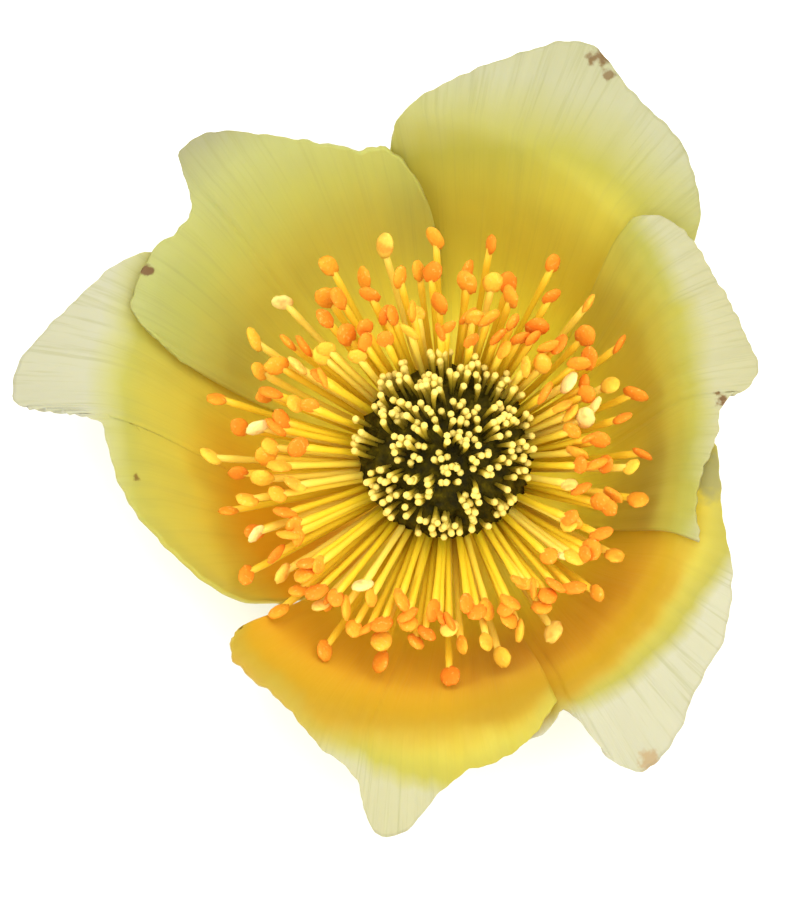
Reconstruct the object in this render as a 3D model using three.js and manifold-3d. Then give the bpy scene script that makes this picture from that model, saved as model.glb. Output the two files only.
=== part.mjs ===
// Alpine pasqueflower: one open yellow blossom, cut just under its head and lying face up.
//
// Six tepals stand in two whorls of three round a small receptacle. Together they make a
// bowl whose rim turns outwards. Inside it is a fan of stamens, and in the middle a dome
// of pistils. The blossom rests on the bellies of its outer tepals and on the cut stalk.
//
// Millimetres, +Z up. The origin is the middle of the bounding box's underside, and the
// blossom is modelled round its own axis first and moved there at the end.

import * as THREE from "three";
import { mergeVertices } from "three/addons/utils/BufferGeometryUtils.js";
import Module from "manifold-3d";

const wasm = await Module();
wasm.setup();

// ---------------------------------------------------------------- driving dimensions

const TEPAL_THICKNESS = 0.5;
const WHORL_GAP = 0.9; // from the outer whorl's bowl to the inner whorl's, wall to wall
const BASE_RADIUS = 4.3; // where the tepals leave the receptacle
const RIM_RADIUS = 21.0; // mean radius of the bowl's crest
const RIM_CENTRE = new THREE.Vector2(-2.2, 0.6); // the bowl leans: its rim isn't over its base
const TEPAL_COLUMNS = 16;
const TEPAL_ROWS = 10;
const CREST_ROW = 0.7; // the share of the rows that lies below the crest
const FAN_ROW = 0.75; // by this share of the rows, the columns point straight out

// Height of the bowl's middle surface against the share of the way from base to crest.
const BOWL_PROFILE = [
  [0.0, 2.6],
  [0.13, 1.1],
  [0.27, 0.3],
  [0.43, 0.95],
  [0.6, 3.8],
  [0.75, 8.4],
  [0.87, 12.6],
  [0.95, 14.5],
  [1.02, 15.0],
  [1.1, 15.1],
  [1.25, 14.9],
  [1.5, 14.2],
];

// Each tepal: its tip's bearing, the bearings of its base's two corners, how far the tip
// is lifted, and its margin from one shoulder to the other as [bearing, reach], with
// bearings in degrees from +X towards +Y and reach in mm from the rim's centre.
const TEPALS = [
  {
    name: "outer_tepal_1",
    whorl: 0,
    bearing: 66,
    base: [30, 100],
    tipLift: 1.8,
    margin: [
      [30, 21.2], [36, 24.2], [41, 25.7], [47, 27.0], [53, 27.3], [57.5, 27.7], [61.5, 28.4], [64.5, 29.0],
      [68.5, 28.7], [73, 27.4], [81, 25.2], [88, 23.4], [93.5, 21.7], [96.5, 20.0], [99, 18.0],
    ],
  },
  {
    name: "inner_tepal_1",
    whorl: 1,
    bearing: 11,
    base: [-23, 38],
    tipLift: -0.8,
    margin: [
      [-22.7, 20.9], [-17, 20.1], [-11, 19.9], [-2.5, 20.5], [2.5, 20.7], [5, 21.3], [6.6, 22.6],
      [10, 23.4], [18.3, 23.0], [26, 22.8], [34.2, 22.8], [40.4, 22.2], [43.8, 21.0],
    ],
  },
  {
    name: "outer_tepal_2",
    whorl: 0,
    bearing: -53,
    base: [-79, -9],
    tipLift: -1.4,
    margin: [
      [-80, 20.5], [-78, 22.6], [-68.3, 22.7], [-63, 21.8], [-61.2, 22.8], [-60.4, 24.5], [-59.6, 26.2],
      [-57, 27.7], [-53.5, 28.0], [-48.5, 27.1], [-42.2, 25.9], [-34, 25.2], [-26.5, 24.0],
      [-21.8, 22.9], [-17.4, 21.9], [-12, 21.2], [-3.7, 20.5], [-1, 19.0],
    ],
  },
  {
    name: "inner_tepal_2",
    whorl: 1,
    bearing: -95,
    base: [-131.5, -66],
    tipLift: -2.4,
    margin: [
      [-132.2, 18.4], [-131.6, 19.6], [-128.3, 20.4], [-122.9, 20.7], [-116.2, 21.0], [-110.5, 21.8],
      [-106.2, 22.6], [-101.4, 23.3], [-99, 24.1], [-97.2, 25.9], [-95.6, 26.9], [-93.2, 27.1],
      [-90, 26.4], [-86.3, 24.7], [-81.3, 23.5], [-76.5, 23.4], [-70.2, 22.7], [-63.2, 21.3],
    ],
  },
  {
    name: "outer_tepal_3",
    whorl: 0,
    bearing: 172,
    base: [149, 233],
    tipLift: -1.6,
    margin: [
      [143, 20.2], [147, 22.2], [151.2, 23.4], [156.5, 24.3], [162, 25.5], [167.3, 26.9], [171.5, 27.9],
      [174, 27.9], [176, 27.3], [176.8, 25.6], [177.4, 23.9], [178.2, 22.3], [179.5, 21.3], [185.5, 20.8],
      [190.3, 20.5], [195.6, 20.1], [202.7, 19.2], [211, 18.2], [217.3, 17.5], [221, 16.5],
      [224.2, 14.8], [228, 12.6],
    ],
  },
  {
    name: "inner_tepal_3",
    whorl: 1,
    bearing: 128,
    base: [92, 160],
    tipLift: 1.2,
    margin: [
      [88, 16.0], [90.5, 18.6], [96, 20.6], [101.8, 20.8], [107, 21.4], [113.6, 22.2], [119, 23.4],
      [124, 24.7], [128, 25.1], [130.7, 24.9], [132.3, 23.7], [134.1, 22.3], [137, 21.6], [142.5, 21.6],
      [146, 21.8], [153.7, 21.5], [159, 20.8], [162.5, 18.5],
    ],
  },
];

// The receptacle and its cut stalk, as [radius, height].
const RECEPTACLE_PROFILE = [
  [0, 0.05], [1.35, 0.05], [1.4, 1.0], [2.2, 1.6], [3.3, 1.9], [3.8, 2.5], [4.15, 3.1],
  [4.25, 3.7], [3.8, 4.9], [3.2, 6.2], [0, 6.2],
];

// Two whorls of the stamens: those that the tepals' bowl holds lowest and furthest out.
const STAMENS_A_WHORL = 24;
const STAMEN_WHORLS = [
  { base: [4.5, 4.35], tip: [15.3, 10.2], rise: 3.2, sag: 1.6, turn: 0 },
  { base: [4.25, 5.25], tip: [13.4, 11.4], rise: 2.4, sag: 1.3, turn: 7.5 },
];
const FILAMENT_RADIUS = 0.26;
const ANTHER_HALF = new THREE.Vector3(0.65, 0.5, 1.0); // width, depth, length
const STAMEN_SHIFT = new THREE.Vector2(-0.4, -0.6); // the fan of stamens leans too

// The pistils: a dome of ovaries under a brush of styles.
const OVARY_PROFILE = [
  [0, 6.5], [3.1, 6.5], [4.6, 7.6], [5.3, 9.0], [4.9, 10.6], [3.4, 11.6], [1.6, 12.1], [0, 12.2],
];
const STYLE_COUNT = 60;
const STYLE_PROFILE = [[0, 0], [0.24, 0], [0.18, 0.75], [0.27, 0.92], [0, 1]];
const STYLE_LENGTH = 5.4;
const PISTIL_RADIUS = 6.6; // reach of the outermost stigmas
const STIGMA_HEIGHT = 15.4; // top of the tallest

const COLOURS = {
  tepal: 0xe6d060,
  stem: 0x8f9a4a,
  stamen: 0xe9a41e,
  pistil: 0x6b6427,
};

// ---------------------------------------------------------------- small helpers

const radians = THREE.MathUtils.degToRad;

// The same number between -1 and 1 for the same index, for natural unevenness.
function wobble(index, salt) {
  const x = Math.sin(index * 12.9898 + salt * 78.233) * 43758.5453;
  return 2 * (x - Math.floor(x)) - 1;
}

// A smooth curve through [x, y] pairs whose x rises.
function smoothThrough(pairs, x) {
  const last = pairs.length - 1;
  const at = Math.min(Math.max(x, pairs[0][0]), pairs[last][0]);
  let i = 0;
  while (i < last - 1 && at > pairs[i + 1][0]) i += 1;
  const slope = (k) => {
    const a = pairs[Math.max(k - 1, 0)];
    const b = pairs[Math.min(k + 1, last)];
    return (b[1] - a[1]) / (b[0] - a[0]);
  };
  const width = pairs[i + 1][0] - pairs[i][0];
  const t = (at - pairs[i][0]) / width;
  return (
    pairs[i][1] * (1 + 2 * t) * (1 - t) ** 2 +
    slope(i) * width * t * (1 - t) ** 2 +
    pairs[i + 1][1] * t * t * (3 - 2 * t) +
    slope(i + 1) * width * t * t * (t - 1)
  );
}

function toSolid(geometry) {
  const bare = new THREE.BufferGeometry().setAttribute("position", geometry.getAttribute("position"));
  bare.setIndex(geometry.index);
  const merged = mergeVertices(bare, 1e-4);
  return new wasm.Manifold(
    new wasm.Mesh({
      numProp: 3,
      vertProperties: merged.attributes.position.array,
      triVerts: new Uint32Array(merged.index.array),
    }),
  );
}

function toGeometry(solid) {
  const mesh = solid.getMesh();
  return new THREE.BufferGeometry()
    .setAttribute("position", new THREE.BufferAttribute(mesh.vertProperties, 3))
    .setIndex(new THREE.BufferAttribute(mesh.triVerts, 1));
}

const profilePoints = (pairs) => pairs.map(([x, y]) => new THREE.Vector2(x, y));

// A solid of revolution about +Z from a [radius, height] profile.
function turned(pairs, segments) {
  return new THREE.LatheGeometry(profilePoints(pairs), segments).rotateX(Math.PI / 2);
}

const flower = new THREE.Group();

function addNode(name, geometry, colour, roughness = 0.6) {
  geometry.computeVertexNormals();
  const material = new THREE.MeshStandardMaterial({ color: colour, roughness, metalness: 0 });
  const mesh = new THREE.Mesh(geometry, material);
  mesh.name = name;
  flower.add(mesh);
}

// ---------------------------------------------------------------- tepals

// The crest isn't a circle: two gentle waves make it the uneven ring that it is.
function crestRadius(bearing) {
  const leanWave = 0.8 * Math.cos(bearing - radians(136));
  const ovalWave = 0.9 * Math.cos(2 * bearing - radians(20));
  return RIM_RADIUS + leanWave - ovalWave;
}

// A point of a tepal's bowl surface, from its bearing and its reach.
function bowlPoint(tepal, bearing, reach) {
  const crest = crestRadius(bearing);
  const share = (reach - BASE_RADIUS) / (crest - BASE_RADIUS);
  const lean = Math.min(share, 1) ** 2;
  const offTip = THREE.MathUtils.clamp((bearing - radians(tepal.bearing)) / radians(30), -1, 1);
  const past = Math.max(reach - crest, 0) / 6;
  const lift = tepal.tipLift * past ** 1.5 * Math.cos((offTip * Math.PI) / 2) ** 2;
  return new THREE.Vector3(
    RIM_CENTRE.x * lean + reach * Math.cos(bearing),
    RIM_CENTRE.y * lean + reach * Math.sin(bearing),
    smoothThrough(BOWL_PROFILE, share) + lift,
  );
}

// The bowl's unit normal at the same place, pointing into the cup.
function bowlNormal(tepal, bearing, reach) {
  const step = 0.05;
  const turn = step / reach;
  const outward = bowlPoint(tepal, bearing, reach + step).sub(bowlPoint(tepal, bearing, reach - step));
  const around = bowlPoint(tepal, bearing + turn, reach).sub(bowlPoint(tepal, bearing - turn, reach));
  return outward.cross(around).normalize();
}

// The reach of a row: the rows follow the crest up to it, then fan out to the margin.
function reachAt(v, end, crest) {
  const fold = Math.min(crest, THREE.MathUtils.lerp(BASE_RADIUS, end, 0.88));
  if (v < CREST_ROW) return THREE.MathUtils.lerp(BASE_RADIUS, fold, v / CREST_ROW);
  return THREE.MathUtils.lerp(fold, end, (v - CREST_ROW) / (1 - CREST_ROW));
}

// A closed shell: a flat box whose faces are laid over the bowl, its columns running from
// the base to the margin and its rows across the blade.
function tepalGeometry(tepal) {
  const middle = radians(tepal.bearing);
  const margin = new THREE.SplineCurve(
    tepal.margin.map(([bearing, reach]) => {
      const angle = radians(bearing) - middle;
      return new THREE.Vector2(reach * Math.cos(angle), reach * Math.sin(angle));
    }),
  );
  const [firstCorner, lastCorner] = tepal.base.map((bearing) => radians(bearing) - middle);
  const geometry = new THREE.BoxGeometry(1, 1, 1, TEPAL_COLUMNS, TEPAL_ROWS, 1);
  const position = geometry.getAttribute("position");
  for (let i = 0; i < position.count; i += 1) {
    const u = THREE.MathUtils.clamp(position.getX(i) + 0.5, 0, 1);
    const v = THREE.MathUtils.clamp(position.getY(i) + 0.5, 0, 1);
    const end = margin.getPointAt(u);
    const start = THREE.MathUtils.lerp(firstCorner, lastCorner, u);
    const reach = reachAt(v, end.length(), crestRadius(middle + Math.atan2(end.y, end.x)));
    const fan = THREE.MathUtils.smoothstep(v, 0, FAN_ROW);
    const bearing = middle + THREE.MathUtils.lerp(start, Math.atan2(end.y, end.x), fan);
    const away = tepal.whorl * WHORL_GAP + Math.sign(position.getZ(i)) * (TEPAL_THICKNESS / 2);
    const point = bowlPoint(tepal, bearing, reach);
    point.addScaledVector(bowlNormal(tepal, bearing, reach), away);
    position.setXYZ(i, point.x, point.y, point.z);
  }
  return flipped(geometry);
}

// The same closed mesh with every triangle turned round: bearings rise to the left of the
// way out, so laying the box over the bowl turns it inside out.
function flipped(geometry) {
  const index = geometry.index.array;
  for (let i = 0; i < index.length; i += 3) {
    const kept = index[i + 1];
    index[i + 1] = index[i + 2];
    index[i + 2] = kept;
  }
  return geometry;
}

for (const tepal of TEPALS) addNode(tepal.name, tepalGeometry(tepal), COLOURS.tepal, 0.55);

// ---------------------------------------------------------------- receptacle and stalk

addNode("receptacle_and_stalk", turned(RECEPTACLE_PROFILE, 20), COLOURS.stem, 0.7);

// ---------------------------------------------------------------- stamens

// A filament that leaves the receptacle sideways and arches up to an egg-shaped anther.
function stamenGeometry(whorl, index) {
  const salt = whorl.turn + 1;
  const bearing = radians((360 / STAMENS_A_WHORL) * index + whorl.turn);
  const tipBearing = bearing + radians(2.2 * wobble(index, salt));
  const steepSide = 0.5 + 0.5 * Math.cos(bearing);
  const reach = whorl.tip[0] + 0.6 * wobble(index, salt + 1) - 1.1 * steepSide;
  const height = whorl.tip[1] + 0.4 * wobble(index, salt + 2) + whorl.rise * steepSide;
  const base = new THREE.Vector3(
    whorl.base[0] * Math.cos(bearing),
    whorl.base[0] * Math.sin(bearing),
    whorl.base[1],
  );
  const tip = new THREE.Vector3(
    STAMEN_SHIFT.x + reach * Math.cos(tipBearing),
    STAMEN_SHIFT.y + reach * Math.sin(tipBearing),
    height,
  );
  const bend = base.clone().lerp(tip, 0.55);
  bend.z -= whorl.sag;
  const path = new THREE.QuadraticBezierCurve3(base, bend, tip);
  const section = new THREE.Shape();
  section.absarc(0, 0, FILAMENT_RADIUS, 0, 2 * Math.PI, false);
  const filament = new THREE.ExtrudeGeometry(section, { extrudePath: path, steps: 3, curveSegments: 3 });
  const anther = new THREE.SphereGeometry(1, 6, 4).rotateX(Math.PI / 2);
  anther.scale(ANTHER_HALF.x, ANTHER_HALF.y, ANTHER_HALF.z);
  const aim = new THREE.Quaternion().setFromUnitVectors(new THREE.Vector3(0, 0, 1), path.getTangent(1));
  anther.applyQuaternion(aim).translate(tip.x, tip.y, tip.z);
  return toGeometry(toSolid(filament).add(toSolid(anther)));
}

let stamenNumber = 0;
for (const whorl of STAMEN_WHORLS) {
  for (let i = 0; i < STAMENS_A_WHORL; i += 1) {
    stamenNumber += 1;
    const name = `stamen_${String(stamenNumber).padStart(2, "0")}`;
    addNode(name, stamenGeometry(whorl, i), COLOURS.stamen, 0.6);
  }
}

// ---------------------------------------------------------------- pistils

// The ovaries' dome with its styles, which spread from it like a brush. They grow too
// close to part, so they are one solid.
function pistilsGeometry() {
  const golden = Math.PI * (3 - Math.sqrt(5));
  let brush = toSolid(turned(OVARY_PROFILE, 18));
  for (let i = 0; i < STYLE_COUNT; i += 1) {
    const spread = Math.sqrt((i + 0.5) / STYLE_COUNT);
    const bearing = i * golden;
    const reach = PISTIL_RADIUS * spread;
    const top = new THREE.Vector3(
      reach * Math.cos(bearing),
      reach * Math.sin(bearing),
      STIGMA_HEIGHT - 2.6 * spread ** 2.5 - 0.35 * (1 + wobble(i, 5)),
    );
    const root = new THREE.Vector3(top.x * 0.55, top.y * 0.55, top.z - STYLE_LENGTH * 0.85);
    const aim = top.clone().sub(root).normalize();
    const profile = STYLE_PROFILE.map(([radius, share]) => [radius, share * top.distanceTo(root)]);
    const style = turned(profile, 5);
    style.applyQuaternion(new THREE.Quaternion().setFromUnitVectors(new THREE.Vector3(0, 0, 1), aim));
    style.translate(root.x, root.y, root.z);
    brush = brush.add(toSolid(style));
  }
  return toGeometry(brush);
}

addNode("pistils", pistilsGeometry(), COLOURS.pistil, 0.6);

// ---------------------------------------------------------------- the part's own frame

const bounds = new THREE.Box3().setFromObject(flower);
const middle = bounds.getCenter(new THREE.Vector3());
flower.position.set(-middle.x, -middle.y, -bounds.min.z);

const part = new THREE.Group();
part.add(flower);

export default part;
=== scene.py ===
# %% [markdown]
# # An alpine pasqueflower blossom
#
# This lesson makes the looks of one open yellow blossom, lying face up where it was put
# down. It has six broad tepals in two whorls, a fan of stamens with orange anthers, and a
# dark dome of pistils in the middle. The solid model is loaded first and never moved: each
# piece made here takes the place of one or more of its nodes.

import math

import bpy
import numpy as np
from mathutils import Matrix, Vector


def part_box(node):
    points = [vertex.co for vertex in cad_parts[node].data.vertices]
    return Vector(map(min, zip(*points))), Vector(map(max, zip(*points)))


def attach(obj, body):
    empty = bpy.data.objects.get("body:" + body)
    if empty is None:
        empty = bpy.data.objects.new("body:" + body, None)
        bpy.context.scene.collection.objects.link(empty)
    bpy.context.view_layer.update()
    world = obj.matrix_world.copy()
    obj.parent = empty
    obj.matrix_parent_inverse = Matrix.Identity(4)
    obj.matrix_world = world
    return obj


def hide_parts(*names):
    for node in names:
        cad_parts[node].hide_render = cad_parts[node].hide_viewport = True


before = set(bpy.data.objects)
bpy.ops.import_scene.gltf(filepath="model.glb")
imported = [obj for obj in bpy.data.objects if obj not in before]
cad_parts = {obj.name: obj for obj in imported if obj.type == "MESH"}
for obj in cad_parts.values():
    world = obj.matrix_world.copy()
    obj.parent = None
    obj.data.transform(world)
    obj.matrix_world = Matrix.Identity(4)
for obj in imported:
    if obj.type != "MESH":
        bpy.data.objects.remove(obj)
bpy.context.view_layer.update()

# %% [markdown]
# Everything below is worked out in millimetres from the flower's own axis, which runs up
# through the middle of the receptacle. The receptacle's box says where that axis stands.

# %% The flower's axis
MM = 0.001
STALK_FOOT = 0.05  # mm: the cut stalk stands this far above the flower's own zero

low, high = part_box("receptacle_and_stalk")
axis_foot = np.array([(low[0] + high[0]) / 2, (low[1] + high[1]) / 2, low[2] - STALK_FOOT * MM])
print("axis, mm:", np.round(axis_foot * 1000, 2))


def in_frame(points):
    """Points in millimetres round the flower's axis, as metres in the row's frame."""
    return axis_foot + np.asarray(points) * MM


# %% [markdown]
# A flower is never quite even. This small function gives the same number between -1 and 1
# for the same index each time, so the unevenness is repeatable.

# %% Repeatable unevenness
def wobble(index, salt):
    x = math.sin(index * 12.9898 + salt * 78.233) * 43758.5453
    return 2 * (x - math.floor(x)) - 1


print("unevenness of the first three:", [round(wobble(i, 0), 2) for i in range(3)])

# %% [markdown]
# ## The bowl that the tepals make
#
# All six tepals lie on one bowl: a flat belly, a wall, a rounded crest and a brim that
# turns outwards. Its section is a smooth curve through a few heights. The bowl leans, so
# its rim isn't centred over its base, and its crest is a slightly wavy ring.

# %% The bowl's section
BASE_RADIUS = 4.3  # mm: where the tepals leave the receptacle
RIM_RADIUS = 21.0  # mm: the mean radius of the crest
RIM_CENTRE = (-2.2, 0.6)
TIP_HALF_ANGLE = math.radians(30)  # a tip's lift dies out this far to each side
TIP_RUN = 6.0  # mm past the crest at which a tip has its whole lift
BOWL_PROFILE = [
    (0.0, 2.6), (0.13, 1.1), (0.27, 0.3), (0.43, 0.95), (0.6, 3.8), (0.75, 8.4),
    (0.87, 12.6), (0.95, 14.5), (1.02, 15.0), (1.1, 15.1), (1.25, 14.9), (1.5, 14.2),
]


def smooth_through(pairs, x):
    """A smooth curve through (x, y) pairs whose x rises, at the values x."""
    px, py = np.array(pairs, float).T
    before = np.clip(np.arange(len(px)) - 1, 0, None)
    after = np.clip(np.arange(len(px)) + 1, None, len(px) - 1)
    slope = (py[after] - py[before]) / (px[after] - px[before])
    x = np.clip(x, px[0], px[-1])
    i = np.clip(np.searchsorted(px, x, side="right") - 1, 0, len(px) - 2)
    width = px[i + 1] - px[i]
    t = (x - px[i]) / width
    return (
        py[i] * (1 + 2 * t) * (1 - t) ** 2
        + slope[i] * width * t * (1 - t) ** 2
        + py[i + 1] * t * t * (3 - 2 * t)
        + slope[i + 1] * width * t * t * (t - 1)
    )


def crest_radius(bearing):
    lean_wave = 0.8 * np.cos(bearing - math.radians(136))
    oval_wave = 0.9 * np.cos(2 * bearing - math.radians(20))
    return RIM_RADIUS + lean_wave - oval_wave


def bowl_point(bearing, reach, tip_bearing, tip_lift):
    """Points of the bowl's middle surface, in mm, lifted or lowered at a tepal's tip."""
    crest = crest_radius(bearing)
    share = (reach - BASE_RADIUS) / (crest - BASE_RADIUS)
    lean = np.minimum(share, 1) ** 2
    off_tip = np.clip((bearing - tip_bearing) / TIP_HALF_ANGLE, -1, 1)
    past = np.clip(reach - crest, 0, None) / TIP_RUN
    lift = tip_lift * past**1.5 * np.cos(off_tip * math.pi / 2) ** 2
    x = RIM_CENTRE[0] * lean + reach * np.cos(bearing)
    y = RIM_CENTRE[1] * lean + reach * np.sin(bearing)
    return np.stack([x, y, smooth_through(BOWL_PROFILE, share) + lift], axis=-1)


def bowl_normal(bearing, reach, *tip):
    """Unit normals of the bowl at the same places, pointing into the cup."""
    step = 0.05
    outward = bowl_point(bearing, reach + step, *tip) - bowl_point(bearing, reach - step, *tip)
    turn = step / reach
    around = bowl_point(bearing + turn, reach, *tip) - bowl_point(bearing - turn, reach, *tip)
    normal = np.cross(outward, around)
    return normal / np.linalg.norm(normal, axis=-1, keepdims=True)


print("crest radii, mm:", np.round(crest_radius(np.radians(np.arange(0, 360, 60))), 1))

# %% [markdown]
# ## The tepals' outlines
#
# Each tepal is described by its margin: a few points, from one shoulder over the tip to the
# other shoulder, as a bearing in degrees and a reach in millimetres from the rim's centre.
# `fade` says where the yellow starts to pale and where it has become the colour of the
# `brim`, by way of a `green`. `orange_shade` says where an orange painted shade on the cup's
# shaded low side comes in, is full, starts to die out and has gone. Both are shares of the
# way out to the crest. `tilt` makes one side of the tepal pale sooner, and `ripple` is how
# strongly its brim waves. `spots` are blemishes, and one patch of painted shade: bearing,
# reach, radius in mm, strength and colour.

# %% Six tepals
BROWN = (104, 74, 38)
TAN = (166, 138, 96)
# The sage patch is painted shade where a curled margin turns its greener back up.
CURL_SHADE = (140, 142, 88)
TEPALS = [
    dict(
        name="outer_tepal_1", whorl=0, bearing=66, base=(30, 100), tip_lift=1.8,
        fade=(0.84, 1.2), tilt=0.14, orange_shade=(0.4, 0.88, 0.3, 0.5), ripple=0.35,
        green=(162, 161, 64), brim=(166, 166, 128),
        spots=[(63.4, 28.6, 1.4, 0.9, BROWN), (61.2, 28.0, 0.8, 0.8, BROWN)],
        margin=[
            (30, 21.2), (36, 24.2), (41, 25.7), (47, 27.0), (53, 27.3), (57.5, 27.7),
            (61.5, 28.4), (64.5, 29.0), (68.5, 28.7), (73, 27.4), (81, 25.2), (88, 23.4),
            (93.5, 21.7), (96.5, 20.0), (99, 18.0),
        ],
    ),
    dict(
        name="inner_tepal_1", whorl=1, bearing=11, base=(-23, 38), tip_lift=-0.8,
        fade=(0.94, 1.06), tilt=0.0, orange_shade=(0.4, 0.88, 0.5, 0.7), ripple=0.3,
        green=(164, 162, 66), brim=(172, 169, 128),
        spots=[(5.0, 20.9, 0.8, 1.0, BROWN)],
        margin=[
            (-22.7, 20.9), (-17, 20.1), (-11, 19.9), (-2.5, 20.5), (2.5, 20.7), (5, 21.3),
            (6.6, 22.6), (10, 23.4), (18.3, 23.0), (26, 22.8), (34.2, 22.8), (40.4, 22.2),
            (43.8, 21.0),
        ],
    ),
    dict(
        name="outer_tepal_2", whorl=0, bearing=-53, base=(-79, -9), tip_lift=-1.4,
        fade=(1.05, 1.14), tilt=-0.1, orange_shade=(0.4, 0.88, 1.01, 1.08), ripple=0.4,
        green=(164, 160, 66), brim=(180, 178, 148),
        spots=[(-55.0, 27.6, 1.6, 0.8, TAN), (-9.0, 20.4, 3.6, 1.0, CURL_SHADE)],
        margin=[
            (-80, 20.5), (-78, 22.6), (-68.3, 22.7), (-63, 21.8), (-61.2, 22.8), (-60.4, 24.5),
            (-59.6, 26.2), (-57, 27.7), (-53.5, 28.0), (-48.5, 27.1), (-42.2, 25.9),
            (-34, 25.2), (-26.5, 24.0), (-21.8, 22.9), (-17.4, 21.9), (-12, 21.2), (-3.7, 20.5),
            (-1, 19.0),
        ],
    ),
    dict(
        name="inner_tepal_2", whorl=1, bearing=-95, base=(-131.5, -66), tip_lift=-2.4,
        fade=(1.03, 1.11), tilt=-0.12, orange_shade=(0.4, 0.88, 0.98, 1.07), ripple=0.3,
        green=(172, 168, 68), brim=(178, 175, 134),
        spots=[],
        margin=[
            (-132.2, 18.4), (-131.6, 19.6), (-128.3, 20.4), (-122.9, 20.7), (-116.2, 21.0),
            (-110.5, 21.8), (-106.2, 22.6), (-101.4, 23.3), (-99, 24.1), (-97.2, 25.9),
            (-95.6, 26.9), (-93.2, 27.1), (-90, 26.4), (-86.3, 24.7), (-81.3, 23.5),
            (-76.5, 23.4), (-70.2, 22.7), (-63.2, 21.3),
        ],
    ),
    dict(
        name="outer_tepal_3", whorl=0, bearing=172, base=(149, 233), tip_lift=-1.6,
        fade=(0.88, 1.08), tilt=0.0, orange_shade=(0.16, 0.5, 0.68, 0.84), ripple=0.3,
        green=(170, 170, 78), brim=(175, 174, 144),
        spots=[(189.7, 19.6, 0.5, 1.0, BROWN)],
        margin=[
            (143, 20.2), (147, 22.2), (151.2, 23.4), (156.5, 24.3), (162, 25.5), (167.3, 26.9),
            (171.5, 27.9), (174, 27.9), (176, 27.3), (176.8, 25.6), (177.4, 23.9),
            (178.2, 22.3), (179.5, 21.3), (185.5, 20.8), (190.3, 20.5), (195.6, 20.1),
            (202.7, 19.2), (211, 18.2), (217.3, 17.5), (221, 16.5), (224.2, 14.8), (228, 12.6),
        ],
    ),
    dict(
        name="inner_tepal_3", whorl=1, bearing=128, base=(92, 160), tip_lift=1.2,
        fade=(0.74, 1.1), tilt=0.0, orange_shade=(0.4, 0.88, 0.3, 0.5), ripple=0.35,
        green=(178, 182, 90), brim=(142, 141, 102),
        spots=[(149.5, 21.4, 0.75, 1.0, BROWN)],
        margin=[
            (88, 16.0), (90.5, 18.6), (96, 20.6), (101.8, 20.8), (107, 21.4), (113.6, 22.2),
            (119, 23.4), (124, 24.7), (128, 25.1), (130.7, 24.9), (132.3, 23.7), (134.1, 22.3),
            (137, 21.6), (142.5, 21.6), (146, 21.8), (153.7, 21.5), (159, 20.8), (162.5, 18.5),
        ],
    ),
]
print("tepals:", len(TEPALS))

# %% [markdown]
# A smooth margin needs many more points than the outline gives. The curve below passes
# through every outline point, and is then walked at an even pace.

# %% A smooth margin
MARGIN_STEP = 0.05  # of the way from one outline point to the next


def even_margin(tepal, count):
    """count bearings (radians) and reaches (mm), evenly spaced along a tepal's margin."""
    degrees, reach = np.array(tepal["margin"], float).T
    angle = np.radians(degrees)
    points = np.stack([reach * np.cos(angle), reach * np.sin(angle)], axis=1)
    padded = np.vstack([points[:1], points, points[-1:]])
    walk = []
    for p0, p1, p2, p3 in zip(padded, padded[1:], padded[2:], padded[3:]):
        for t in np.arange(0, 1, MARGIN_STEP):
            walk.append(
                p1 + 0.5 * t * (p2 - p0)
                + t * t * (p0 - 2.5 * p1 + 2 * p2 - 0.5 * p3)
                + t**3 * (1.5 * (p1 - p2) + 0.5 * (p3 - p0))
            )
    walk = np.array(walk + [points[-1]])
    along = np.concatenate([[0], np.cumsum(np.linalg.norm(np.diff(walk, axis=0), axis=1))])
    even = np.linspace(0, along[-1], count)
    x, y = np.interp(even, along, walk[:, 0]), np.interp(even, along, walk[:, 1])
    middle = math.radians(tepal["bearing"])
    turned = (np.arctan2(y, x) - middle + math.pi) % (2 * math.pi) - math.pi
    return turned + middle, np.hypot(x, y)


print("longest reaches, mm:", [round(even_margin(tepal, 200)[1].max(), 1) for tepal in TEPALS])

# %% [markdown]
# ## Tepal blades
#
# A tepal is a thin sheet that curves two ways, so it starts as a flat grid. Each vertex of
# the grid is laid on the bowl, with the columns running from base to margin and the rows
# following the crest. The whole shape comes from one formula, which no sequence of
# extrusions would give so smoothly. Solidify then turns the sheet into a blade.

# %% Helpers for making pieces
def only(piece):
    """Selects this object alone and makes it active."""
    bpy.ops.object.select_all(action="DESELECT")
    piece.select_set(True)
    bpy.context.view_layer.objects.active = piece


def apply_modifier(piece, kind, **settings):
    """Adds a modifier, sets it and applies it."""
    only(piece)
    modifier = piece.modifiers.new(kind.title(), kind)
    for name, value in settings.items():
        setattr(modifier, name, value)
    bpy.ops.object.modifier_apply(modifier=modifier.name)


def finish_called(name):
    """The material of this name, made empty the first time it is asked for."""
    return bpy.data.materials.get(name) or bpy.data.materials.new(name)


def vertices_of(piece):
    found = np.empty(len(piece.data.vertices) * 3)
    piece.data.vertices.foreach_get("co", found)
    return found.reshape(-1, 3)


def move_vertices(piece, places):
    piece.data.vertices.foreach_set("co", np.asarray(places, float).ravel())
    piece.data.update()


def lay_uv(piece, **maps):
    """Gives a piece its UV maps, each from a (u, v) pair for every vertex."""
    while piece.data.uv_layers:
        piece.data.uv_layers.remove(piece.data.uv_layers[0])
    corner = np.empty(len(piece.data.loops), int)
    piece.data.loops.foreach_get("vertex_index", corner)
    for name, pairs in maps.items():
        layer = piece.data.uv_layers.new(name=name)
        layer.data.foreach_set("uv", np.stack(pairs, axis=1)[corner].ravel())


# %% [markdown]
# A living blade is never smooth. Its brim ripples, its base is pleated, and close to the
# margin it crinkles. All three lift it off the bowl by a few hundredths of a millimetre to
# a few tenths, and the margin itself waves as little.

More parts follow.
